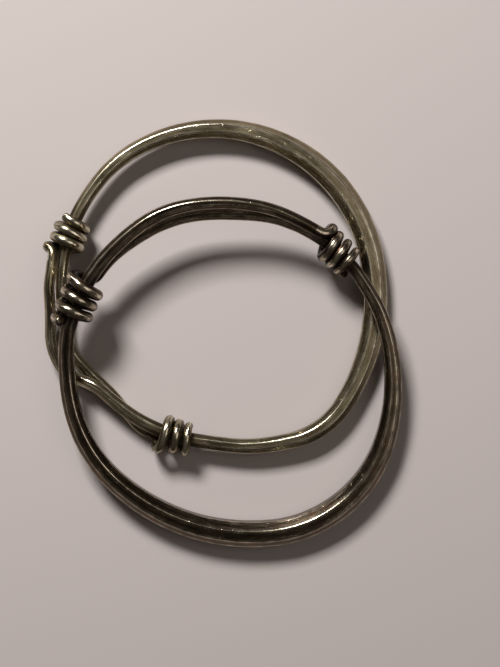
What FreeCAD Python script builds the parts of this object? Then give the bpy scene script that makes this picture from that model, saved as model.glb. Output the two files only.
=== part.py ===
import FreeCAD, Part
import math
import os

# Two adjustable wire bangles lying one on the other.  Each bangle is one wrought rod: thick and
# eight-sided at the bow, tapering both ways into wire.  The two ends pass each other, and each end
# is wound round the other side, so both coils slide and the bangle changes size.
# Millimetres, +Z up, the bangles lie on Z = 0.
# Plan positions run clockwise (seen from above): coil 1, shoulder 1, bow, shoulder 2, coil 2, overlap.

# ---------------------------------------------------------------------------------------- sizes
UNDER = {
    "centre_x": (-0.14, "centre of the two coil arcs, across"),
    "centre_y": (9.99, "centre of the two coil arcs, along"),
    "centre_z": (3.27, "height of the ring plane at that centre"),
    "rise_x": (-0.0249, "slope of the ring plane, per mm across"),
    "rise_y": (-0.0064, "slope of the ring plane, per mm along"),
    "arc_1": (32.8, "radius of the ring through coil 1"),
    "arc_2": (32.7, "radius of the ring through coil 2"),
    "bearing_1": (161.0, "bearing of coil 1, degrees"),
    "bearing_2": (-106.6, "bearing of coil 2, degrees"),
    "open_angle": (7.0, "how far each shoulder swings open, degrees"),
    "bow_width": (4.9, "across flats, thickest"),
    "root_1": (2.65, "across flats inside coil 1"),
    "root_2": (2.8, "across flats inside coil 2"),
    "strand_width": (2.3, "across flats, middle of the overlap"),
    "strand_end": (2.1, "across flats where the winding starts"),
    "coil_1_radius": (2.75, "wire centre to rod centre"),
    "coil_2_radius": (2.72, "wire centre to rod centre"),
    "coil_1_pitch": (2.15, "spacing of the turns"),
    "coil_2_pitch": (2.3, "spacing of the turns"),
    "wire_1_end": (1.75, "wire at the cut end of coil 1"),
    "wire_2_end": (1.6, "wire at the cut end of coil 2"),
}
OVER = {
    "centre_x": (2.51, "centre of the two coil arcs, across"),
    "centre_y": (-6.91, "centre of the two coil arcs, along"),
    "centre_z": (6.42, "height of the ring plane at that centre"),
    "rise_x": (-0.029, "slope of the ring plane, per mm across"),
    "rise_y": (0.1032, "slope of the ring plane, per mm along"),
    "arc_1": (31.5, "radius of the ring through coil 1"),
    "arc_2": (33.4, "radius of the ring through coil 2"),
    "bearing_1": (47.6, "bearing of coil 1, degrees"),
    "bearing_2": (155.3, "bearing of coil 2, degrees"),
    "open_angle": (8.0, "how far each shoulder swings open, degrees"),
    "bow_width": (5.2, "across flats, thickest"),
    "root_1": (2.54, "across flats inside coil 1"),
    "root_2": (3.0, "across flats inside coil 2"),
    "strand_width": (2.5, "across flats, middle of the overlap"),
    "strand_end": (2.3, "across flats where the winding starts"),
    "coil_1_radius": (2.63, "wire centre to rod centre"),
    "coil_2_radius": (3.0, "wire centre to rod centre"),
    "coil_1_pitch": (2.15, "spacing of the turns"),
    "coil_2_pitch": (2.6, "spacing of the turns"),
    "wire_1_end": (1.5, "wire at the cut end of coil 1"),
    "wire_2_end": (2.1, "wire at the cut end of coil 2"),
}
HINGE_PLAY = 0.06
TURNED_EIGHTH = 22.5
OUTER_RATIO = 0.5 / math.cos(math.radians(TURNED_EIGHTH))

# Bends that carry each ring from its coil arcs round to the bow: (radius, degrees turned).
BENDS = {
    "under": {"after_1": [(30.0, 38.7), (32.7, 50.5)], "before_2": [(50.5, 22.9), (16.7, 43.5)],
              "past_2": [(86.0, 9.1)]},
    "over": {"after_1": [(20.2, 8.1), (40.9, 47.4)], "before_2": [(33.9, 36.0), (29.4, 28.3)],
             "past_2": []},
}


# ------------------------------------------------------------------------------ plan of one ring
def unit(angle):
    return (math.cos(angle), math.sin(angle))


def smooth(x, start, end):
    t = min(1.0, max(0.0, (x - start) / (end - start)))
    return t * t * t * (t * (6.0 * t - 15.0) + 10.0)


class Plan:
    """A closed plan line of tangent arcs, walked clockwise."""

    def __init__(self):
        self.arcs = []
        self.length = 0.0

    def add(self, cx, cy, radius, start, sweep):
        self.arcs.append((self.length, cx, cy, radius, start, sweep))
        self.length += radius * abs(sweep)

    def end(self):
        _, cx, cy, radius, start, sweep = self.arcs[-1]
        return point_on(cx, cy, radius, start + sweep, sweep)

    def bend(self, radius, degrees):
        x, y, tx, ty = self.end()
        cx = x + ty * radius
        cy = y - tx * radius
        self.add(cx, cy, radius, math.atan2(y - cy, x - cx), -math.radians(degrees))

    def join(self, x, y, tx, ty):
        """Two tangent arcs from the end of the line to a given point and direction."""
        ax, ay, ux, uy = self.end()
        vx = x - ax
        vy = y - ay
        along = vx * (ux + tx) + vy * (uy + ty)
        lack = 2.0 * (1.0 - ux * tx - uy * ty)
        reach = (-along + math.sqrt(along * along + lack * (vx * vx + vy * vy))) / lack
        px = ax + reach * ux
        py = ay + reach * uy
        qx = x - reach * tx
        qy = y - reach * ty
        gap = math.hypot(qx - px, qy - py)
        mx = 0.5 * (px + qx)
        my = 0.5 * (py + qy)
        self.arc_to(ax, ay, ux, uy, mx, my)
        self.arc_to(mx, my, (qx - px) / gap, (qy - py) / gap, x, y)

    def arc_to(self, ax, ay, ux, uy, x, y):
        vx = x - ax
        vy = y - ay
        side = 2.0 * (vx * uy - vy * ux)
        signed = (vx * vx + vy * vy) / side
        cx = ax + uy * signed
        cy = ay - ux * signed
        start = math.atan2(ay - cy, ax - cx)
        sweep = math.atan2(y - cy, x - cx) - start
        if signed > 0:
            sweep = sweep - 2 * math.pi if sweep > 0 else sweep
        else:
            sweep = sweep + 2 * math.pi if sweep < 0 else sweep
        self.add(cx, cy, abs(signed), start, sweep)

    def at(self, s):
        """x, y and the direction of travel at distance s round the line."""
        s = s % self.length
        chosen = self.arcs[0]
        for arc in self.arcs:
            if arc[0] <= s:
                chosen = arc
        begin, cx, cy, radius, start, sweep = chosen
        turned = start + math.copysign((s - begin) / radius, sweep)
        return point_on(cx, cy, radius, turned, sweep)


def point_on(cx, cy, radius, angle, sweep):
    way = math.copysign(1.0, sweep)
    c, s = unit(angle)
    return (cx + radius * c, cy + radius * s, -s * way, c * way)


class Ring:
    """The plan, the tapers and the overlap of one bangle, in its own flat frame."""

    def __init__(self, name, sizes):
        self.name = name
        self.v = {key: value[0] for key, value in sizes.items()}
        v = self.v
        self.travel = math.radians(2.0 * v["open_angle"])
        self.half_coil = 4.0
        bends = BENDS[name]
        b1 = math.radians(v["bearing_1"])
        b2 = math.radians(v["bearing_2"])
        plan = Plan()
        start_1 = b1 + self.travel + self.half_coil / v["arc_1"]
        plan.add(0.0, 0.0, v["arc_1"], start_1, -(self.travel + 2 * self.half_coil / v["arc_1"]))
        for radius, degrees in bends["after_1"]:
            plan.bend(radius, degrees)
        back = Plan()
        begin_2 = b2 + self.half_coil / v["arc_2"]
        x, y, tx, ty = point_on(0.0, 0.0, v["arc_2"], begin_2, -1.0)
        lead = []
        for radius, degrees in bends["before_2"]:
            cx = x + ty * radius
            cy = y - tx * radius
            a = math.atan2(y - cy, x - cx) + math.radians(degrees)
            lead.append((cx, cy, radius, a, -math.radians(degrees)))
            x, y, tx, ty = point_on(cx, cy, radius, a, -1.0)
        plan.join(x, y, tx, ty)
        for arc in reversed(lead):
            plan.add(*arc)
        self.s2 = plan.length + self.half_coil
        plan.add(0.0, 0.0, v["arc_2"], begin_2, -(self.travel + 2 * self.half_coil / v["arc_2"]))
        for radius, degrees in bends["past_2"]:
            plan.bend(radius, degrees)
        plan.join(*point_on(0.0, 0.0, v["arc_1"], start_1, -1.0))
        self.plan = plan
        self.s1 = v["arc_1"] * (self.travel + self.half_coil / v["arc_1"])
        self.overlap = self.s1 + plan.length - self.s2
        self.find_hinges()

    def find_hinges(self):
        """The shoulders flex about the ends of a diameter square to the overlap, moved toward the
        overlap so that the coils stay centred on their rods over the whole swing."""
        v = self.v
        a = unit(math.radians(v["bearing_1"]))
        b = unit(math.radians(v["bearing_2"]))
        mx = a[0] + b[0]
        my = a[1] + b[1]
        size = math.hypot(mx, my)
        self.middle = (mx / size, my / size)
        mean = 0.5 * (v["arc_1"] + v["arc_2"])
        shift = 0.82 * mean * math.tan(math.radians(v["open_angle"]) / 2)
        found = []
        for side in (1.0, -1.0):
            best = None
            steps = 4000
            for k in range(steps):
                s = self.plan.length * k / steps
                x, y, _, _ = self.plan.at(s)
                off = x * self.middle[0] + y * self.middle[1] - shift
                across = side * (x * self.middle[1] - y * self.middle[0])
                if across > 0 and (best is None or abs(off) < best[0]):
                    best = (abs(off), s)
            found.append(best[1])
        inside = [s for s in found if self.s1 < s < self.s2]
        self.h1 = min(inside)
        self.h2 = max(inside)
        self.bow = 0.5 * (self.h1 + self.h2)

    # Widths: (size of the thick end, size of the thin end, share of the way to the thin end).
    def taper(self, arm, s):
        root = "root_%d" % arm
        centre = self.s1 if arm == 1 else self.s2
        far = self.s2 - self.plan.length if arm == 1 else self.s1 + self.plan.length
        if (s - centre) * (self.bow - centre) > 0:
            x = abs(s - self.bow) / abs(centre - self.bow)
            return "bow_width", root, math.sin(0.5 * math.pi * min(1.0, x)) ** 2
        x = abs(s - centre) / abs(far - centre)
        if x < 0.5:
            return root, "strand_width", x / 0.5
        return "strand_width", "strand_end", (x - 0.5) / 0.5

    def width(self, arm, s):
        thick, thin, share = self.taper(arm, s)
        return self.v[thick] + (self.v[thin] - self.v[thick]) * share

    def offset(self, arm, s):
        """How far the rod stands outward from the plan line, and how far above it."""
        d = s - (self.s2 - self.plan.length) if arm == 1 else s - self.s2
        o = self.overlap
        if self.name == "under":
            if arm == 1:
                out = 1.3 - 2.7 * smooth(d, 3.0, 19.0) + 0.95 * smooth(d, o - 26.0, o - 12.0)
                out += 0.45 * smooth(d, o + 4.5, o + 22.0)
                up = -2.7 + 2.7 * smooth(d, o - 24.0, o - 10.5)
            else:
                out = -0.6 * smooth(d, -18.0, -4.5) + 2.5 * smooth(d, 17.0, 28.0)
                out -= 0.35 * smooth(d, o - 13.0, o - 7.0)
                up = -1.2 * smooth(d, 18.5, 24.5) + 1.35 * smooth(d, 32.0, 41.0)
                up += 1.6 * smooth(d, o - 20.0, o - 9.0)
        else:
            if arm == 1:
                out = -0.4 - 0.7 * (smooth(d, 6.0, 20.0) - smooth(d, o - 26.0, o - 12.0))
                out += 0.4 * smooth(d, o + 4.5, o + 17.0)
                up = -1.3 + 0.25 * smooth(d, o - 22.0, o - 13.0) + 1.05 * smooth(d, o + 4.5, o + 17.0)
            else:
                out = 0.5 * smooth(d, -18.0, -4.5)
                out += 0.6 * (smooth(d, 12.0, 26.0) - smooth(d, o - 20.0, o - 6.0))
                up = 1.4 * smooth(d, -18.0, -4.5) + 0.15 * smooth(d, 13.0, 22.0)
        return out, up

    def centre(self, arm, s):
        x, y, tx, ty = self.plan.at(s)
        out, up = self.offset(arm, s) if arm else (0.0, 0.0)
        return (x - ty * out, y + tx * out, up)


# Windings: how far the wire turns (degrees), how far it stands off before it tightens, and how far
# the turns lean along the rod (share of the pitch).
WINDINGS = {
    ("under", 1): {"turned": 1070.0, "flare": 0.9, "lean": 0.02},
    ("under", 2): {"turned": 955.0, "flare": 0.7, "lean": 0.29},
    ("over", 1): {"turned": 1300.0, "flare": 0.25, "lean": 0.27},
    ("over", 2): {"turned": 1240.0, "flare": 0.1, "lean": 0.1},
}
LEAD_IN = 4.5
STEP = 0.05


def winding(ring, coil):
    """Points of a coil wound left-handed round the rod of arm `coil` by the end of the other arm.
    Gives the place where the strand ends (along the plan, from the coil) and the points."""
    v = ring.v
    host = coil
    guest = 3 - coil
    way = 1.0 if coil == 1 else -1.0
    host_centre = ring.s1 if coil == 1 else ring.s2
    guest_centre = ring.s1 + ring.plan.length if coil == 1 else ring.s2 - ring.plan.length
    pitch = v["coil_%d_pitch" % coil]
    tight = v["coil_%d_radius" % coil]
    setup = WINDINGS[(ring.name, coil)]
    host_out, host_up = ring.offset(host, host_centre - way * 8.0)
    guest_out, guest_up = ring.offset(guest, guest_centre - way * 8.0)
    a = guest_out - host_out
    b = guest_up - host_up
    loose = math.hypot(a, b)
    psi_0 = math.atan2(b, a)
    total = math.radians(setup["turned"])
    climb = math.atan2(2 * math.pi * tight, pitch)
    walked = []
    turned = 0.0
    along = 0.0
    gone = 0.0
    while turned < total:
        settle = smooth(turned, 0.1, 2.0)
        lean = climb * smooth(gone, 0.0, LEAD_IN)
        psi = psi_0 - way * turned
        rho = loose + (tight - loose) * settle
        if turned < abs(psi_0) + 0.5 * math.pi:
            rho += setup["flare"] * max(0.0, math.cos(psi)) ** 2 * smooth(turned, 0.0, 0.6)
        swung = math.sin(turned + way * (math.pi / 2 - psi_0)) * smooth(turned, 0.3, 2.4)
        shift = -setup["lean"] * pitch * swung
        walked.append((along + shift, rho, psi))
        along += STEP * math.cos(lean)
        turned += STEP * math.sin(lean) / rho
        gone += STEP
    fronts = []
    for before, after in zip(walked, walked[1:]):
        if math.sin(before[2]) > 0 and math.cos(before[2]) * math.cos(after[2]) <= 0:
            fronts.append(before[0])
    middle = fronts[-2] if len(fronts) > 2 else 0.5 * (fronts[0] + fronts[-1])
    points = []
    count = max(30, int(len(walked) * STEP / 0.9))
    for k in range(count + 1):
        place, rho, psi = walked[int(round(k * (len(walked) - 1) / count))]
        s = host_centre + way * (place - middle)
        x, y, tx, ty = ring.plan.at(s)
        out, up = ring.offset(host, s)
        reach = out + rho * math.cos(psi)
        points.append((x - ty * reach, y + tx * reach, up + rho * math.sin(psi)))
    return guest_centre + way * (walked[0][0] - middle), points


# ---------------------------------------------------------------------- solids
doc = FreeCAD.newDocument("ring_pair")
sheet = doc.addObject("Spreadsheet::Sheet", "Sizes")
row = 1
for ring_name, sizes in (("under", UNDER), ("over", OVER)):
    for key, (value, note) in sizes.items():
        sheet.set("A%d" % row, "%s %s" % (ring_name, key.replace("_", " ")))
        sheet.set("B%d" % row, str(value))
        sheet.set("C%d" % row, note)
        sheet.setAlias("B%d" % row, "%s_%s" % (ring_name, key))
        row += 1
sheet.set("A%d" % row, "hinge play")
sheet.set("B%d" % row, str(HINGE_PLAY))
sheet.setAlias("B%d" % row, "hinge_play")
doc.recompute()


def width_rule(ring, arm, s):
    thick, thin, share = ring.taper(arm, s)
    a = "Sizes.%s_%s" % (ring.name, thick)
    b = "Sizes.%s_%s" % (ring.name, thin)
    return "(%s + (%s - %s) * %.4f)" % (a, b, a, share)


def frame_at(point, ahead, behind):
    """A placement whose Z runs along the rod and whose Y points up as far as it can."""
    along = FreeCAD.Vector(*ahead).sub(FreeCAD.Vector(*behind))
    along.normalize()
    up = FreeCAD.Vector(0, 0, 1)
    side = up.cross(along)
    side.normalize()
    over = along.cross(side)
    turn = FreeCAD.Rotation(side, over, along, "ZXY")
    return FreeCAD.Placement(FreeCAD.Vector(*point), turn)


def eighth_turned(place):
    return place.multiply(FreeCAD.Placement(FreeCAD.Vector(), FreeCAD.Rotation(FreeCAD.Vector(0, 0, 1), TURNED_EIGHTH)))


def rod(name, ring, arm, begin, end, spacing=3.0):
    """A tapering eight-sided rod along the plan between two places."""
    count = max(3, int(math.ceil(abs(end - begin) / spacing)))
    sections = []
    for k in range(count + 1):
        s = begin + (end - begin) * k / count
        used = arm
        if arm == 0:
            used = 1 if s < ring.bow else 2
        cut = doc.addObject("Part::RegularPolygon", "%s_section" % name)
        cut.Polygon = 8
        cut.setExpression("Circumradius", "%s * %.5f" % (width_rule(ring, used, s), OUTER_RATIO))
        e = 0.05
        place = frame_at(ring.centre(arm, s), ring.centre(arm, s + e), ring.centre(arm, s - e))
        cut.Placement = eighth_turned(place)
        sections.append(cut)
    solid = doc.addObject("Part::Loft", name)
    solid.Sections = sections
    solid.Solid = True
    solid.Ruled = False
    return solid


def hinge_frame(ring, s, toward):
    x, y, tx, ty = ring.plan.at(s)
    angle = math.degrees(math.atan2(toward * ty, toward * tx))
    return FreeCAD.Placement(FreeCAD.Vector(x, y, 0), FreeCAD.Rotation(FreeCAD.Vector(0, 0, 1), angle))


def knuckle_pin(name, ring, arm, s, play):
    pin = doc.addObject("Part::Cylinder", name)
    extra = " + Sizes.hinge_play" if play else ""
    pin.setExpression("Radius", "%s / 2%s" % (width_rule(ring, arm, s), extra))
    pin.Height = 16
    x, y, _, _ = ring.plan.at(s)
    pin.Placement = FreeCAD.Placement(FreeCAD.Vector(x, y, -8), FreeCAD.Rotation())
    return pin


def block(name, place, start, length):
    """A block from `start` along the frame's X, wide and tall enough to clear the rod."""
    made = doc.addObject("Part::Box", name)
    made.Length = length
    made.Width = 12
    made.Height = 16
    shift = FreeCAD.Placement(FreeCAD.Vector(start, -6, -8), FreeCAD.Rotation())
    made.Placement = place.multiply(shift)
    return made


def minus(name, base, tools):
    tool = tools[0]
    if len(tools) > 1:
        tool = doc.addObject("Part::MultiFuse", name + "_tools")
        tool.Shapes = tools
    made = doc.addObject("Part::Cut", name)
    made.Base = base
    made.Tool = tool
    return made


def coil(name, ring, number):
    strand_end, points = winding(ring, number)
    curve = Part.BSplineCurve()
    curve.interpolate([FreeCAD.Vector(*p) for p in points])
    spine = doc.addObject("Part::Feature", name + "_line")
    spine.Shape = Part.Wire([curve.toShape()])
    ends = []
    for key, point, ahead, behind in (
        ("strand_end", points[0], points[1], points[0]),
        ("wire_%d_end" % number, points[-1], points[-1], points[-2]),
    ):
        ring_cut = doc.addObject("Part::Circle", name + "_section")
        ring_cut.setExpression("Radius", "Sizes.%s_%s / 2" % (ring.name, key))
        ring_cut.Placement = frame_at(point, ahead, behind)
        ends.append(ring_cut)
    solid = doc.addObject("Part::Sweep", name)
    solid.Sections = ends
    solid.Spine = (spine, [])
    solid.Solid = True
    solid.Frenet = False
    return solid, strand_end


NAMES = {
    "under": {"bow": "under_bow", 1: "under_top", 2: "under_foot"},
    "over": {"bow": "over_bow", 1: "over_right", 2: "over_left"},
}
nodes = []
for ring_name, sizes in (("under", UNDER), ("over", OVER)):
    ring = Ring(ring_name, sizes)
    names = NAMES[ring_name]
    tilt = FreeCAD.Rotation(FreeCAD.Vector(0, 0, 1), FreeCAD.Vector(-ring.v["rise_x"], -ring.v["rise_y"], 1))
    lie = FreeCAD.Placement(
        FreeCAD.Vector(ring.v["centre_x"], ring.v["centre_y"], ring.v["centre_z"]), tilt
    )
    made = {}
    whole = rod(names["bow"] + "_rod", ring, 0, ring.h1 - 3.0, ring.h2 + 3.0)
    tools = []
    for arm, s, toward in ((1, ring.h1, -1.0), (2, ring.h2, 1.0)):
        reach = ring.width(arm, s) / 2
        place = hinge_frame(ring, s, toward)
        tools.append(knuckle_pin("%s_socket_%d" % (names["bow"], arm), ring, arm, s, True))
        tools.append(block("%s_clear_%d" % (names["bow"], arm), place, -0.5 * reach, 9.0))
    made[names["bow"]] = minus(names["bow"], whole, tools)
    for arm, s, toward in ((1, ring.h1, -1.0), (2, ring.h2, 1.0)):
        label = names[arm]
        place = hinge_frame(ring, s, toward)
        centre = ring.s1 if arm == 1 else ring.s2
        split = centre + toward * 6.0
        whole = rod(label + "_shoulder_rod", ring, arm, s - toward * 3.0, split)
        pin = knuckle_pin(label + "_pin", ring, arm, s, False)
        back = block(label + "_back", place, -9.0, 9.0)
        waste = minus(label + "_waste", back, [pin])
        made[label + "_shoulder"] = minus(label + "_shoulder", whole, [waste])
        winding_coil, strand_end = coil(label + "_coil", ring, 3 - arm)
        made[label + "_strand"] = rod(label + "_strand", ring, arm, split, strand_end, 2.4)
        made[label + "_coil"] = winding_coil
    for label, solid in made.items():
        solid.Label = label
        solid.Placement = lie
        nodes.append(solid)

doc.recompute()
os.makedirs("parts", exist_ok=True)
for item in doc.Objects:
    bad = [flag for flag in ("Invalid", "Error") if flag in item.State]
    if bad:
        raise RuntimeError("%s did not rebuild: %s" % (item.Label, item.State))
for item in nodes:
    if item.Shape.isNull() or not item.Shape.isValid() or len(item.Shape.Solids) != 1:
        raise RuntimeError("%s is not one valid solid" % item.Label)
    item.Shape.exportStep("parts/%s.step" % item.Label)
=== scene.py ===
import math

import bpy
import numpy as np
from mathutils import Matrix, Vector


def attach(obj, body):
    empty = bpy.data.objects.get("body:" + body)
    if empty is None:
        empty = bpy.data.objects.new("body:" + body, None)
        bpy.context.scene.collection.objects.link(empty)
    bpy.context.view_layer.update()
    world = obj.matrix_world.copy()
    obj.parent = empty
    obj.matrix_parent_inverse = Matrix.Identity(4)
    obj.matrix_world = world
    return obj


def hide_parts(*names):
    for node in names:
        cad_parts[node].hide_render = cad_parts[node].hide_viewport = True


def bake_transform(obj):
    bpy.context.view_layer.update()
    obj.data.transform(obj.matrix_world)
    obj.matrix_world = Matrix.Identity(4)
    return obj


# Looks for two wrought-wire bangles, one lying on the other.  Each bangle is one rod from tip to tip:
# thick and eight-sided at the bow, tapering both ways into round wire that winds round the other side.
# The plan below is the part's own plan, in millimetres; meshes are made in metres.

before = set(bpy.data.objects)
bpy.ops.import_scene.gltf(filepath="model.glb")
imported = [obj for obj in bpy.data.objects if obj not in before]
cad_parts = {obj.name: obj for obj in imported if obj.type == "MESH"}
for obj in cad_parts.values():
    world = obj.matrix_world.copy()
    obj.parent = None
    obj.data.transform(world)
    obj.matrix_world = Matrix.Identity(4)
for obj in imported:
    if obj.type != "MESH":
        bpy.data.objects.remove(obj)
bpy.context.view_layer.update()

MM = 0.001
# Where each ring lies and slopes, its two coil arcs, its widths along the rod (across flats), and the
# radius, pitch and end of its two windings.  Millimetres and degrees; a slope is per millimetre.
UNDER = {
    "centre_x": -0.14, "centre_y": 9.99, "centre_z": 3.27, "rise_x": -0.0249, "rise_y": -0.0064,
    "arc_1": 32.8, "arc_2": 32.7, "bearing_1": 161.0, "bearing_2": -106.6, "open_angle": 7.0,
    "bow_width": 4.9, "root_1": 2.65, "root_2": 2.8, "strand_width": 2.3, "strand_end": 2.1,
    "coil_1_radius": 2.75, "coil_2_radius": 2.72, "coil_1_pitch": 2.15, "coil_2_pitch": 2.3,
    "wire_1_end": 1.75, "wire_2_end": 1.6,
}
OVER = {
    "centre_x": 2.51, "centre_y": -6.91, "centre_z": 6.42, "rise_x": -0.029, "rise_y": 0.1032,
    "arc_1": 31.5, "arc_2": 33.4, "bearing_1": 47.6, "bearing_2": 155.3, "open_angle": 8.0,
    "bow_width": 5.2, "root_1": 2.54, "root_2": 3.0, "strand_width": 2.5, "strand_end": 2.3,
    "coil_1_radius": 2.63, "coil_2_radius": 3.0, "coil_1_pitch": 2.15, "coil_2_pitch": 2.6,
    "wire_1_end": 1.5, "wire_2_end": 2.1,
}
# Bends that carry each ring from its coil arcs round to the bow: (radius, degrees turned).
BENDS = {
    "under": {"after_1": [(30.0, 38.7), (32.7, 50.5)], "before_2": [(50.5, 22.9), (16.7, 43.5)],
              "past_2": [(86.0, 9.1)]},
    "over": {"after_1": [(20.2, 8.1), (40.9, 47.4)], "before_2": [(33.9, 36.0), (29.4, 28.3)],
             "past_2": []},
}
# How far the wire turns (degrees), how far it stands off before it tightens, and how far the turns lean
# along the rod (share of the pitch).
WINDINGS = {
    ("under", 1): {"turned": 1070.0, "flare": 0.9, "lean": 0.02},
    ("under", 2): {"turned": 955.0, "flare": 0.7, "lean": 0.29},
    ("over", 1): {"turned": 1300.0, "flare": 0.25, "lean": 0.27},
    ("over", 2): {"turned": 1240.0, "flare": 0.1, "lean": 0.1},
}
LEAD_IN = 4.5       # wire that is laid before the turns reach their full slant
STEP = 0.05         # walked along the wire


# ------------------------------------------------------------------------------ plan of one ring
def unit(angle):
    return (math.cos(angle), math.sin(angle))


def smooth(x, start, end):
    t = min(1.0, max(0.0, (x - start) / (end - start)))
    return t * t * t * (t * (6.0 * t - 15.0) + 10.0)


class Plan:
    """A closed plan line of tangent arcs, walked clockwise."""

    def __init__(self):
        self.arcs = []
        self.length = 0.0

    def add(self, cx, cy, radius, start, sweep):
        self.arcs.append((self.length, cx, cy, radius, start, sweep))
        self.length += radius * abs(sweep)

    def end(self):
        _, cx, cy, radius, start, sweep = self.arcs[-1]
        return point_on(cx, cy, radius, start + sweep, sweep)

    def bend(self, radius, degrees):
        x, y, tx, ty = self.end()
        cx = x + ty * radius
        cy = y - tx * radius
        self.add(cx, cy, radius, math.atan2(y - cy, x - cx), -math.radians(degrees))

    def join(self, x, y, tx, ty):
        """Two tangent arcs from the end of the line to a given point and direction."""
        ax, ay, ux, uy = self.end()
        vx = x - ax
        vy = y - ay
        along = vx * (ux + tx) + vy * (uy + ty)
        lack = 2.0 * (1.0 - ux * tx - uy * ty)
        reach = (-along + math.sqrt(along * along + lack * (vx * vx + vy * vy))) / lack
        px = ax + reach * ux
        py = ay + reach * uy
        qx = x - reach * tx
        qy = y - reach * ty
        gap = math.hypot(qx - px, qy - py)
        mx = 0.5 * (px + qx)
        my = 0.5 * (py + qy)
        self.arc_to(ax, ay, ux, uy, mx, my)
        self.arc_to(mx, my, (qx - px) / gap, (qy - py) / gap, x, y)

    def arc_to(self, ax, ay, ux, uy, x, y):
        vx = x - ax
        vy = y - ay
        side = 2.0 * (vx * uy - vy * ux)
        signed = (vx * vx + vy * vy) / side
        cx = ax + uy * signed
        cy = ay - ux * signed
        start = math.atan2(ay - cy, ax - cx)
        sweep = math.atan2(y - cy, x - cx) - start
        if signed > 0:
            sweep = sweep - 2 * math.pi if sweep > 0 else sweep
        else:
            sweep = sweep + 2 * math.pi if sweep < 0 else sweep
        self.add(cx, cy, abs(signed), start, sweep)

    def at(self, s):
        """x, y and the direction of travel at distance s round the line."""
        s = s % self.length
        chosen = self.arcs[0]
        for arc in self.arcs:
            if arc[0] <= s:
                chosen = arc
        begin, cx, cy, radius, start, sweep = chosen
        turned = start + math.copysign((s - begin) / radius, sweep)
        return point_on(cx, cy, radius, turned, sweep)


def point_on(cx, cy, radius, angle, sweep):
    way = math.copysign(1.0, sweep)
    c, s = unit(angle)
    return (cx + radius * c, cy + radius * s, -s * way, c * way)


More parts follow.
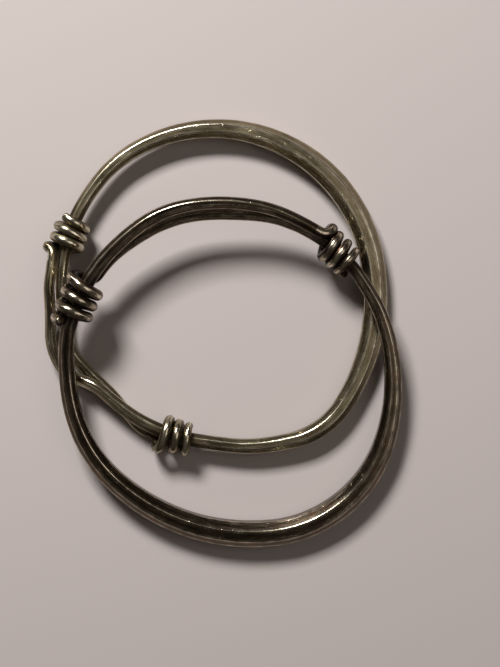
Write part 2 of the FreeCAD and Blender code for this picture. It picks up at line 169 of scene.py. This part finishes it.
class Ring:
    """The plan, the tapers and the overlap of one bangle, in its own flat frame."""

    def __init__(self, name, sizes):
        self.name = name
        self.v = sizes
        v = self.v
        self.travel = math.radians(2.0 * v["open_angle"])
        self.half_coil = 4.0
        bends = BENDS[name]
        b1 = math.radians(v["bearing_1"])
        b2 = math.radians(v["bearing_2"])
        plan = Plan()
        start_1 = b1 + self.travel + self.half_coil / v["arc_1"]
        plan.add(0.0, 0.0, v["arc_1"], start_1, -(self.travel + 2 * self.half_coil / v["arc_1"]))
        for radius, degrees in bends["after_1"]:
            plan.bend(radius, degrees)
        begin_2 = b2 + self.half_coil / v["arc_2"]
        x, y, tx, ty = point_on(0.0, 0.0, v["arc_2"], begin_2, -1.0)
        lead = []
        for radius, degrees in bends["before_2"]:
            cx = x + ty * radius
            cy = y - tx * radius
            a = math.atan2(y - cy, x - cx) + math.radians(degrees)
            lead.append((cx, cy, radius, a, -math.radians(degrees)))
            x, y, tx, ty = point_on(cx, cy, radius, a, -1.0)
        plan.join(x, y, tx, ty)
        for arc in reversed(lead):
            plan.add(*arc)
        self.s2 = plan.length + self.half_coil
        plan.add(0.0, 0.0, v["arc_2"], begin_2, -(self.travel + 2 * self.half_coil / v["arc_2"]))
        for radius, degrees in bends["past_2"]:
            plan.bend(radius, degrees)
        plan.join(*point_on(0.0, 0.0, v["arc_1"], start_1, -1.0))
        self.plan = plan
        self.s1 = v["arc_1"] * (self.travel + self.half_coil / v["arc_1"])
        self.overlap = self.s1 + plan.length - self.s2
        self.find_hinges()

    def find_hinges(self):
        """The shoulders' hinges, at the ends of a diameter square to the overlap."""
        v = self.v
        a = unit(math.radians(v["bearing_1"]))
        b = unit(math.radians(v["bearing_2"]))
        mx = a[0] + b[0]
        my = a[1] + b[1]
        size = math.hypot(mx, my)
        self.middle = (mx / size, my / size)
        mean = 0.5 * (v["arc_1"] + v["arc_2"])
        shift = 0.82 * mean * math.tan(math.radians(v["open_angle"]) / 2)
        found = []
        for side in (1.0, -1.0):
            best = None
            steps = 4000
            for k in range(steps):
                s = self.plan.length * k / steps
                x, y, _, _ = self.plan.at(s)
                off = x * self.middle[0] + y * self.middle[1] - shift
                across = side * (x * self.middle[1] - y * self.middle[0])
                if across > 0 and (best is None or abs(off) < best[0]):
                    best = (abs(off), s)
            found.append(best[1])
        inside = [s for s in found if self.s1 < s < self.s2]
        self.h1 = min(inside)
        self.h2 = max(inside)
        self.bow = 0.5 * (self.h1 + self.h2)

    def width(self, arm, s):
        """Across flats: bow, then the root inside the coil, then the strand of the overlap."""
        v = self.v
        root = v["root_%d" % arm]
        centre = self.s1 if arm == 1 else self.s2
        far = self.s2 - self.plan.length if arm == 1 else self.s1 + self.plan.length
        if (s - centre) * (self.bow - centre) > 0:
            x = abs(s - self.bow) / abs(centre - self.bow)
            share = math.sin(0.5 * math.pi * min(1.0, x)) ** 2
            return v["bow_width"] + (root - v["bow_width"]) * share
        x = abs(s - centre) / abs(far - centre)
        if x < 0.5:
            return root + (v["strand_width"] - root) * x / 0.5
        return v["strand_width"] + (v["strand_end"] - v["strand_width"]) * (x - 0.5) / 0.5

    def offset(self, arm, s):
        """How far the rod stands outward from the plan line, and how far above it."""
        d = s - (self.s2 - self.plan.length) if arm == 1 else s - self.s2
        o = self.overlap
        if self.name == "under":
            if arm == 1:
                out = 1.3 - 2.7 * smooth(d, 3.0, 19.0) + 0.95 * smooth(d, o - 26.0, o - 12.0)
                out += 0.45 * smooth(d, o + 4.5, o + 22.0)
                up = -2.7 + 2.7 * smooth(d, o - 24.0, o - 10.5)
            else:
                out = -0.6 * smooth(d, -18.0, -4.5) + 2.5 * smooth(d, 17.0, 28.0)
                out -= 0.35 * smooth(d, o - 13.0, o - 7.0)
                up = -1.2 * smooth(d, 18.5, 24.5) + 1.35 * smooth(d, 32.0, 41.0)
                up += 1.6 * smooth(d, o - 20.0, o - 9.0)
        else:
            if arm == 1:
                out = -0.4 - 0.7 * (smooth(d, 6.0, 20.0) - smooth(d, o - 26.0, o - 12.0))
                out += 0.4 * smooth(d, o + 4.5, o + 17.0)
                up = -1.3 + 0.25 * smooth(d, o - 22.0, o - 13.0) + 1.05 * smooth(d, o + 4.5, o + 17.0)
            else:
                out = 0.5 * smooth(d, -18.0, -4.5)
                out += 0.6 * (smooth(d, 12.0, 26.0) - smooth(d, o - 20.0, o - 6.0))
                up = 1.4 * smooth(d, -18.0, -4.5) + 0.15 * smooth(d, 13.0, 22.0)
        return out, up

    def centre(self, arm, s):
        x, y, tx, ty = self.plan.at(s)
        out, up = self.offset(arm, s)
        return (x - ty * out, y + tx * out, up)


def winding(ring, coil, spacing):
    """A coil wound left-handed round the rod of arm `coil` by the end of the other arm: the place where
    its strand ends, the wire's points, and the point of the rod's own line abreast of each."""
    v = ring.v
    host = coil
    guest = 3 - coil
    way = 1.0 if coil == 1 else -1.0
    host_centre = ring.s1 if coil == 1 else ring.s2
    guest_centre = ring.s1 + ring.plan.length if coil == 1 else ring.s2 - ring.plan.length
    pitch = v["coil_%d_pitch" % coil]
    tight = v["coil_%d_radius" % coil]
    setup = WINDINGS[(ring.name, coil)]
    host_out, host_up = ring.offset(host, host_centre - way * 8.0)
    guest_out, guest_up = ring.offset(guest, guest_centre - way * 8.0)
    a = guest_out - host_out
    b = guest_up - host_up
    loose = math.hypot(a, b)
    psi_0 = math.atan2(b, a)
    total = math.radians(setup["turned"])
    climb = math.atan2(2 * math.pi * tight, pitch)
    walked = []
    turned = 0.0
    along = 0.0
    gone = 0.0
    while turned < total:
        settle = smooth(turned, 0.1, 2.0)
        lean = climb * smooth(gone, 0.0, LEAD_IN)
        psi = psi_0 - way * turned
        rho = loose + (tight - loose) * settle
        if turned < abs(psi_0) + 0.5 * math.pi:
            rho += setup["flare"] * max(0.0, math.cos(psi)) ** 2 * smooth(turned, 0.0, 0.6)
        swung = math.sin(turned + way * (math.pi / 2 - psi_0)) * smooth(turned, 0.3, 2.4)
        shift = -setup["lean"] * pitch * swung
        walked.append((along + shift, rho, psi))
        along += STEP * math.cos(lean)
        turned += STEP * math.sin(lean) / rho
        gone += STEP
    fronts = []
    for before, after in zip(walked, walked[1:]):
        if math.sin(before[2]) > 0 and math.cos(before[2]) * math.cos(after[2]) <= 0:
            fronts.append(before[0])
    middle = fronts[-2] if len(fronts) > 2 else 0.5 * (fronts[0] + fronts[-1])
    points = []
    axis = []
    count = int(len(walked) * STEP / spacing)
    for k in range(count + 1):
        place, rho, psi = walked[int(round(k * (len(walked) - 1) / count))]
        s = host_centre + way * (place - middle)
        x, y, tx, ty = ring.plan.at(s)
        out, up = ring.offset(host, s)
        reach = out + rho * math.cos(psi)
        points.append((x - ty * reach, y + tx * reach, up + rho * math.sin(psi)))
        axis.append((x - ty * out, y + tx * out, up))
    return guest_centre + way * (walked[0][0] - middle), points, axis


# ------------------------------------------------------------------------------ the rod as a mesh
SIDES = 8
ROD_SPACING = 0.8       # between stations along the rod
WIRE_SPACING = 0.3      # between stations along the windings
STRAND_BEGINS = 6.0     # past the middle of the coil that slides on it, shoulder becomes strand
FLEX = 3.0              # each side of a hinge; the shoulder piece starts this far before it on the bow's side
BLEND_TO_ROUND = 14.0   # before a winding, the length over which the facets die away
SOIL_FULL = 3.6         # dirt packed beside a coil, from its middle
SOIL_GONE = 8.5
HAMMERED = 0.055        # unevenness of one facet
SWELL = 0.05            # unevenness of the whole section
# Rounded rim of a cut end: (ahead, in half widths; scale; tilt of the surface, degrees)
TIP = [(0.16, 0.965, 30.0), (0.27, 0.86, 60.0), (0.31, 0.70, 90.0)]


def outline():
    """Angles of a rounded octagon: (corner direction, outward angle, share along the flat, wear)."""
    rows = []
    turn = math.radians(360.0 / SIDES)
    for k in range(SIDES):
        corner = turn * (k + 0.5)
        for j in range(4):
            rows.append((corner, turn * (k + j / 3.0), None, 1.0 if j in (1, 2) else 0.7))
        for share, wear in ((0.2, 0.16), (0.5, 0.0), (0.8, 0.16)):
            rows.append((corner, turn * (k + 1), share, wear))
    return rows


OUTLINE = outline()


def wave(length, side, seed):
    """Hand-forged unevenness of one side, between about -1 and 1."""
    total = np.zeros_like(length)
    for n, span in enumerate((31.0, 17.0, 9.5, 5.6)):
        phase = 2.4 * side * (n + 1) + 1.7 * seed + 0.9 * n * n
        total += np.sin(2 * math.pi * length / (span * (1 + 0.07 * math.sin(phase))) + phase) / (1.4 + n)
    return total / 1.6


def arm_line(ring, arm):
    """Stations from the middle of the bow to the tip of one arm."""
    toward = -1.0 if arm == 1 else 1.0
    hinge = ring.h1 if arm == 1 else ring.h2
    near = ring.s1 if arm == 1 else ring.s2
    split = near + toward * STRAND_BEGINS
    strand_end, wire, axis = winding(ring, 3 - arm, WIRE_SPACING)
    rows = []
    cuts = [(ring.bow, hinge - toward * FLEX, "bow"), (hinge - toward * FLEX, split, "shoulder"),
            (split, strand_end, "strand")]
    for begin, end, part in cuts:
        count = int(math.ceil(abs(end - begin) / ROD_SPACING))
        for k in range(count + (part == "strand")):
            s = begin + (end - begin) * k / count
            x, y, tx, ty = ring.plan.at(s)
            reached = abs(strand_end - s)
            half = 0.5 * ring.width(arm, s)
            start_of_round = 1.0 - smooth(reached, 0.0, BLEND_TO_ROUND)
            thin = smooth(4.2 - 2 * half, 0.0, 2.0)
            soft = 0.17 + 0.20 * thin + 0.63 * start_of_round
            soil = 0.0
            for coil in (ring.s1, ring.s2):
                gap = (s - coil + 0.5 * ring.plan.length) % ring.plan.length - 0.5 * ring.plan.length
                soil = max(soil, 1.0 - smooth(abs(gap), SOIL_FULL, SOIL_GONE))
            rows.append((ring.centre(arm, s), part, half, min(1.0, soft), soil, None))
    first = 0.5 * ring.v["strand_end"]
    last = 0.5 * ring.v["wire_%d_end" % (3 - arm)]
    for k in range(1, len(wire)):
        share = k / (len(wire) - 1)
        rows.append((wire[k], "coil", first + (last - first) * share, 1.0, 0.0, axis[k]))
    return rows


def sweep(ring, seed):
    """The whole rod as a grid of points, normals and surface facts, tip of arm 1 to tip of arm 2."""
    one = arm_line(ring, 1)
    two = arm_line(ring, 2)
    rows = [r + (1,) for r in reversed(one)] + [r + (2,) for r in two[1:]]
    centre = np.array([r[0] for r in rows])
    parts = ["bow" if r[1] == "bow" else "%s_%d" % (r[1], r[6]) for r in rows]
    half = np.array([r[2] for r in rows])
    soft = np.array([r[3] for r in rows])
    soil = np.array([r[4] for r in rows])
    step = np.linalg.norm(np.diff(centre, axis=0), axis=1)
    length = np.concatenate([[0.0], np.cumsum(step)])
    along = np.gradient(centre, length, axis=0)
    along /= np.linalg.norm(along, axis=1)[:, None]
    n = len(rows)
    side = np.zeros((n, 3))
    over = np.zeros((n, 3))
    flat = [i for i in range(n) if not parts[i].startswith("coil")]
    for i in flat:
        side[i] = np.cross((0.0, 0.0, 1.0), along[i])
        side[i] /= np.linalg.norm(side[i])
        over[i] = np.cross(along[i], side[i])
    for order in (range(flat[0] - 1, -1, -1), range(flat[-1] + 1, n)):
        for i in order:
            before = i + 1 if order.step < 0 else i - 1
            carried = over[before] - along[i] * (over[before] @ along[i])
            over[i] = carried / np.linalg.norm(carried)
            side[i] = np.cross(over[i], along[i])
    calm = np.clip((half - 0.9) / 1.2, 0.12, 1.0)
    uneven = np.stack([wave(length, k, seed) for k in range(SIDES)], 1) * (HAMMERED * calm)[:, None]
    swell = SWELL * calm * (np.sin(length / 6.1 + seed) + 0.6 * np.sin(length / 2.9 + 2 * seed))
    m = len(OUTLINE)
    points = np.zeros((n, m, 3))
    normals = np.zeros((n, m, 3))
    rod = np.zeros((n, m, 3))
    wear = np.zeros((n, m))
    groove = np.zeros((n, m))
    turn = 2 * math.pi / SIDES
    corner_ratio = np.cos(0.5 * turn)
    flat_half = np.tan(0.5 * turn)
    size = half + 0.3 * swell
    for j, (corner, angle, share, worn) in enumerate(OUTLINE):
        radius = soft * size
        place = angle / turn
        low = int(math.floor(place + 1e-9)) % SIDES
        mix = place - math.floor(place + 1e-9)
        bump = uneven[:, low] * (1 - mix) + uneven[:, (low + 1) % SIDES] * mix
        bump = bump * (1.0 - 0.7 * soft)
        if share is None:
            reach = (size - radius) / corner_ratio
            px = reach * math.cos(corner) + radius * math.cos(angle)
            py = reach * math.sin(corner) + radius * math.sin(angle)
        else:
            sideways = (size - radius) * flat_half * (2 * share - 1)
            px = size * math.cos(angle) - sideways * math.sin(angle)
            py = size * math.sin(angle) + sideways * math.cos(angle)
        px = px + bump * math.cos(angle)
        py = py + bump * math.sin(angle)
        points[:, j] = centre + side * px[:, None] + over * py[:, None]
        slope = np.gradient(size + bump, length)
        facing = side * math.cos(angle) + over * math.sin(angle) - along * slope[:, None]
        normals[:, j] = facing / np.linalg.norm(facing, axis=1)[:, None]
        rod[:, j] = np.stack([length, px, py], 1)
        wear[:, j] = worn * (1.0 - soft)
        groove[:, j] = soil
    for i, row in enumerate(rows):
        if row[5] is not None:
            out = centre[i] - np.array(row[5])
            out /= np.linalg.norm(out)
            facing = normals[i] @ out
            groove[i] = np.clip((0.72 - facing) / 0.9, 0.0, 1.0)
            wear[i] = np.clip((facing - 0.80) / 0.2, 0.0, 1.0)
    return {"parts": parts, "points": points, "normals": normals, "rod": rod, "wear": wear,
            "groove": groove, "along": along, "centre": centre, "half": half}


def cap_rows(grid, index, way):
    """Rings that close the cut end of the wire with a rounded rim."""
    centre = grid["centre"][index]
    along = grid["along"][index] * way
    half = grid["half"][index]
    rings = []
    for ahead, scale, tilt in TIP:
        c = math.cos(math.radians(tilt))
        s = math.sin(math.radians(tilt))
        points = centre + (grid["points"][index] - centre) * scale + along * ahead * half
        rings.append((points, grid["normals"][index] * c + along * s))
    return rings


def tilted(vectors, ring):
    """Vectors of the ring's flat frame, turned to the slope that the ring lies at."""
    v = ring.v
    n = np.array([-v["rise_x"], -v["rise_y"], 1.0])
    n /= np.linalg.norm(n)
    axis = np.cross((0.0, 0.0, 1.0), n)
    sine = np.linalg.norm(axis)
    axis /= sine
    k = np.array([[0, -axis[2], axis[1]], [axis[2], 0, -axis[0]], [-axis[1], axis[0], 0]])
    turn = np.eye(3) + sine * k + (1 - n[2]) * (k @ k)
    return vectors @ turn.T


def placed(points, ring):
    """Points of the ring's flat frame, in millimetres, at their place in the part, in metres."""
    v = ring.v
    return (tilted(points, ring) + np.array([v["centre_x"], v["centre_y"], v["centre_z"]])) * MM


def make_piece(name, grid, ring, first, last, material):
    """One closed mesh from station `first` to station `last` of the rod."""
    index = list(range(first, last + 1))
    layers = [(grid["points"][i], grid["normals"][i], grid["rod"][i], grid["wear"][i], grid["groove"][i])
              for i in index]
    end = len(grid["parts"]) - 1
    if first == 0:
        for points, normals in cap_rows(grid, 0, -1.0):
            layers.insert(0, (points, normals, grid["rod"][0], grid["wear"][0], grid["groove"][0]))
    if last == end:
        for points, normals in cap_rows(grid, end, 1.0):
            layers.append((points, normals, grid["rod"][end], grid["wear"][end], grid["groove"][end]))
    points = np.concatenate([layer[0] for layer in layers])
    normals = np.concatenate([layer[1] for layer in layers])
    verts = placed(points, ring)
    normals = tilted(normals, ring)
    m = len(OUTLINE)
    faces = []
    for i in range(len(layers) - 1):
        for j in range(m):
            k = (j + 1) % m
            faces.append((i * m + j, (i + 1) * m + j, (i + 1) * m + k, i * m + k))
    faces.append(tuple(range(m)))
    faces.append(tuple(reversed(range((len(layers) - 1) * m, len(layers) * m))))
    mesh = bpy.data.meshes.new(name)
    mesh.from_pydata([tuple(p) for p in verts], [], faces)
    rod = mesh.attributes.new("rod", "FLOAT_VECTOR", "POINT")
    along_rod = np.concatenate([layer[2] for layer in layers])
    rod.data.foreach_set("vector", along_rod.astype(np.float32).ravel())
    for key, slot in (("wear", 3), ("groove", 4)):
        held = mesh.attributes.new(key, "FLOAT", "POINT")
        values = np.concatenate([layer[slot] for layer in layers])
        held.data.foreach_set("value", values.astype(np.float32))
    mesh.polygons.foreach_set("use_smooth", [True] * len(mesh.polygons))
    mesh.update()
    if mesh.polygons[0].normal.dot(Vector(normals[0])) < 0:
        mesh.flip_normals()
    mesh.normals_split_custom_set_from_vertices([tuple(v / np.linalg.norm(v)) for v in normals])
    mesh.materials.append(material)
    piece = bpy.data.objects.new(name, mesh)
    bpy.context.scene.collection.objects.link(piece)
    return piece


# ------------------------------------------------------------------------------ materials
class Nodes:
    """Short way to write a node tree."""

    def __init__(self, name):
        self.material = bpy.data.materials.new(name)
        self.material.use_nodes = True
        self.tree = self.material.node_tree
        self.tree.nodes.clear()

    def feed(self, socket, value):
        """Link a node's output to a socket, or set the socket to a constant."""
        if isinstance(value, bpy.types.NodeSocket):
            self.tree.links.new(value, socket)
        else:
            socket.default_value = value

    def add(self, kind, **settings):
        """A node; in_0, in_1 ... are its inputs by number, the rest are its properties."""
        node = self.tree.nodes.new(kind)
        for key, value in settings.items():
            if key.startswith("in_"):
                self.feed(node.inputs[int(key[3:])], value)
            else:
                setattr(node, key, value)
        return node

    def math(self, operation, a, b=0.0, clamp=False):
        return self.add("ShaderNodeMath", operation=operation, use_clamp=clamp, in_0=a, in_1=b).outputs[0]

    def ranged(self, value, low, high, out_low, out_high):
        node = self.add("ShaderNodeMapRange", in_0=value, in_1=low, in_2=high, in_3=out_low, in_4=out_high)
        return node.outputs[0]

    def noise(self, vector, scale, detail, rough, stretch=(1.0, 1.0, 1.0)):
        mapped = self.add("ShaderNodeMapping", in_0=vector, in_3=stretch).outputs[0]
        node = self.add("ShaderNodeTexNoise", in_0=mapped)
        node.inputs["Scale"].default_value = scale
        node.inputs["Detail"].default_value = detail
        node.inputs["Roughness"].default_value = rough
        return node.outputs[0]

    def mix(self, factor, a, b):
        node = self.add("ShaderNodeMix", data_type="RGBA")
        for number, value in ((0, factor), (6, a), (7, b)):
            self.feed(node.inputs[number], value)
        return node.outputs[2]


def aged_metal(name, deep, body, bright, warm, rough, warmth):
    """Old wrought silver-white metal: tarnish in the grooves, lengthwise forging streaks, worn edges."""
    t = Nodes(name)
    rod = t.add("ShaderNodeAttribute", attribute_name="rod").outputs[1]
    wear = t.add("ShaderNodeAttribute", attribute_name="wear").outputs[2]
    groove = t.add("ShaderNodeAttribute", attribute_name="groove").outputs[2]
    patches = t.noise(rod, 0.16, 4.0, 0.6)
    cloud = t.noise(rod, 0.9, 5.0, 0.65, (0.45, 1.0, 1.0))
    streak = t.noise(rod, 2.2, 6.0, 0.7, (0.06, 1.0, 1.0))
    grain = t.noise(rod, 9.0, 4.0, 0.6, (0.25, 1.0, 1.0))
    tone = t.math("ADD", t.math("MULTIPLY", patches, 0.5), t.math("MULTIPLY", streak, 0.5))
    tone = t.ranged(tone, 0.36, 0.66, 0.0, 1.0)
    colour = t.mix(tone, deep, body)
    spots = t.ranged(cloud, 0.56, 0.72, 0.0, 0.75)
    colour = t.mix(spots, colour, deep)
    reddish = t.math("MULTIPLY", t.ranged(t.noise(rod, 0.33, 3.0, 0.5), 0.52, 0.68, 0.0, 1.0), warmth)
    colour = t.mix(reddish, colour, warm)
    rubbed = t.math("MULTIPLY", wear, t.ranged(cloud, 0.40, 0.62, 0.25, 1.0), True)
    colour = t.mix(rubbed, colour, bright)
    packed = t.math("MULTIPLY", groove, t.ranged(grain, 0.3, 0.7, 0.75, 1.0), True)
    dirt = (deep[0] * 0.45, deep[1] * 0.42, deep[2] * 0.4, 1.0)
    colour = t.mix(packed, colour, t.mix(reddish, dirt, warm))
    level = t.ranged(streak, 0.3, 0.7, rough - 0.07, rough + 0.09)
    level = t.math("ADD", level, t.math("MULTIPLY", spots, 0.10))
    level = t.math("SUBTRACT", level, t.math("MULTIPLY", rubbed, 0.10))
    level = t.math("ADD", level, t.math("MULTIPLY", packed, 0.18), True)
    height = t.math("ADD", t.math("MULTIPLY", streak, 0.7), t.math("MULTIPLY", grain, 0.3))
    pits = t.noise(rod, 1.7, 2.0, 0.5)
    height = t.math("SUBTRACT", height, t.ranged(pits, 0.66, 0.74, 0.0, 0.8))
    bump = t.add("ShaderNodeBump")
    bump.inputs["Strength"].default_value = 0.55
    bump.inputs["Distance"].default_value = 0.05 * MM
    t.tree.links.new(height, bump.inputs["Height"])
    shader = t.add("ShaderNodeBsdfPrincipled")
    shader.inputs["Metallic"].default_value = 1.0
    t.tree.links.new(colour, shader.inputs["Base Color"])
    t.tree.links.new(level, shader.inputs["Roughness"])
    t.tree.links.new(bump.outputs[0], shader.inputs["Normal"])
    out = t.add("ShaderNodeOutputMaterial")
    t.tree.links.new(shader.outputs[0], out.inputs[0])
    return t.material


# deep tarnish, plain metal, worn edges, reddish patches; roughness; how much of the reddish
PALE = aged_metal("pale_aged_metal", (0.125, 0.098, 0.056, 1.0), (0.37, 0.32, 0.205, 1.0),
                  (0.88, 0.82, 0.66, 1.0), (0.22, 0.13, 0.075, 1.0), 0.26, 0.22)
DARK = aged_metal("dark_aged_metal", (0.04, 0.028, 0.018, 1.0), (0.118, 0.088, 0.058, 1.0),
                  (0.80, 0.71, 0.56, 1.0), (0.15, 0.07, 0.036, 1.0), 0.24, 0.35)

# The two arms of each bangle, by the names of their bodies and nodes.
NAMES = {
    "under": {"bow": "under_bow", 1: "under_top", 2: "under_foot"},
    "over": {"bow": "over_bow", 1: "over_right", 2: "over_left"},
}


def stretches(parts):
    """The seven stretches of a rod: name, first and last station, neighbours sharing a station."""
    found = []
    for part in ("coil_1", "strand_1", "shoulder_1", "bow", "shoulder_2", "strand_2", "coil_2"):
        where = [i for i, name in enumerate(parts) if name == part]
        first = where[0]
        last = where[-1]
        if part.endswith("_1"):
            last += 1
        if part.endswith("_2"):
            first -= 1
        found.append((part, first, last))
    return found


def bend_at_hinge(piece, ring, arm):
    """Bakes the shoulder's placement into its mesh, leaving it without a body; the ends of a short length
    each side of its hinge are found but not used.
    """
    toward = -1.0 if arm == 1 else 1.0
    s = ring.h1 if arm == 1 else ring.h2
    ends = placed(np.array([ring.centre(arm, s - toward * FLEX),
                            ring.centre(arm, s + toward * FLEX)]), ring)
    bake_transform(piece)


def add_bangle(name, sizes, material, seed):
    ring = Ring(name, sizes)
    names = NAMES[name]
    grid = sweep(ring, seed)
    for part, first, last in stretches(grid["parts"]):
        if part == "bow":
            node = names["bow"]
            body = names["bow"]
        else:
            kind, number = part.split("_")
            node = "%s_%s" % (names[int(number)], kind)
            body = names[int(number)] + "_arm"
        piece = make_piece(node + "_wrought", grid, ring, first, last, material)
        if part.startswith("shoulder"):
            bend_at_hinge(piece, ring, int(number))
        else:
            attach(piece, body)
        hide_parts(node)


add_bangle("under", UNDER, PALE, 1.0)
add_bangle("over", OVER, DARK, 4.0)

# ------------------------------------------------------------------------------ floor, light, camera
bpy.ops.mesh.primitive_plane_add(size=4.0, location=(0.0, 0.0, -0.0001))
floor = bpy.context.active_object
floor.name = "floor"
floor_nodes = Nodes("pale_floor")
shade = floor_nodes.add("ShaderNodeBsdfPrincipled")
shade.inputs["Base Color"].default_value = (0.43, 0.385, 0.375, 1.0)
shade.inputs["Roughness"].default_value = 0.9
floor_nodes.add("ShaderNodeOutputMaterial", in_0=shade.outputs[0])
floor.data.materials.append(floor_nodes.material)

world = bpy.data.worlds.new("soft_room")
bpy.context.scene.world = world
world.use_nodes = True
background = world.node_tree.nodes["Background"]
background.inputs["Color"].default_value = (0.050, 0.044, 0.038, 1.0)
background.inputs["Strength"].default_value = 1.0


def soft_light(name, azimuth, elevation, distance, width, height, power, tint):
    """A softbox aimed at the object.  Azimuth 0 is from the top of the picture, 90 from its right."""
    lamp = bpy.data.lights.new(name, "AREA")
    lamp.shape = "RECTANGLE"
    lamp.size = width
    lamp.size_y = height
    lamp.energy = power
    lamp.color = tint
    a = math.radians(azimuth)
    e = math.radians(elevation)
    away = Vector((math.sin(a) * math.cos(e), math.cos(a) * math.cos(e), math.sin(e)))
    made = bpy.data.objects.new(name, lamp)
    made.location = away * distance
    made.rotation_mode = "QUATERNION"
    made.rotation_quaternion = away.to_track_quat("Z", "Y")
    bpy.context.scene.collection.objects.link(made)


soft_light("window", -24.0, 44.0, 0.60, 0.18, 0.13, 5.6, (1.0, 0.98, 0.955))
soft_light("fill", 85.0, 62.0, 0.80, 0.50, 0.50, 0.8, (1.0, 0.92, 0.84))

EYE = (5.66, -0.01, 300.0)     # straight above, looking down
HALF_VIEW = 68.4               # half the longer side of the picture, at the floor
SENSOR = 36.0
camera = bpy.data.objects.new("camera", bpy.data.cameras.new("camera"))
camera.data.sensor_width = SENSOR
camera.data.lens = 0.5 * SENSOR * EYE[2] / HALF_VIEW
camera.data.clip_start = 0.01
camera.data.clip_end = 20.0
camera.location = tuple(v * MM for v in EYE)
bpy.context.scene.collection.objects.link(camera)
bpy.context.scene.camera = camera
bpy.context.scene.view_settings.view_transform = "Standard"
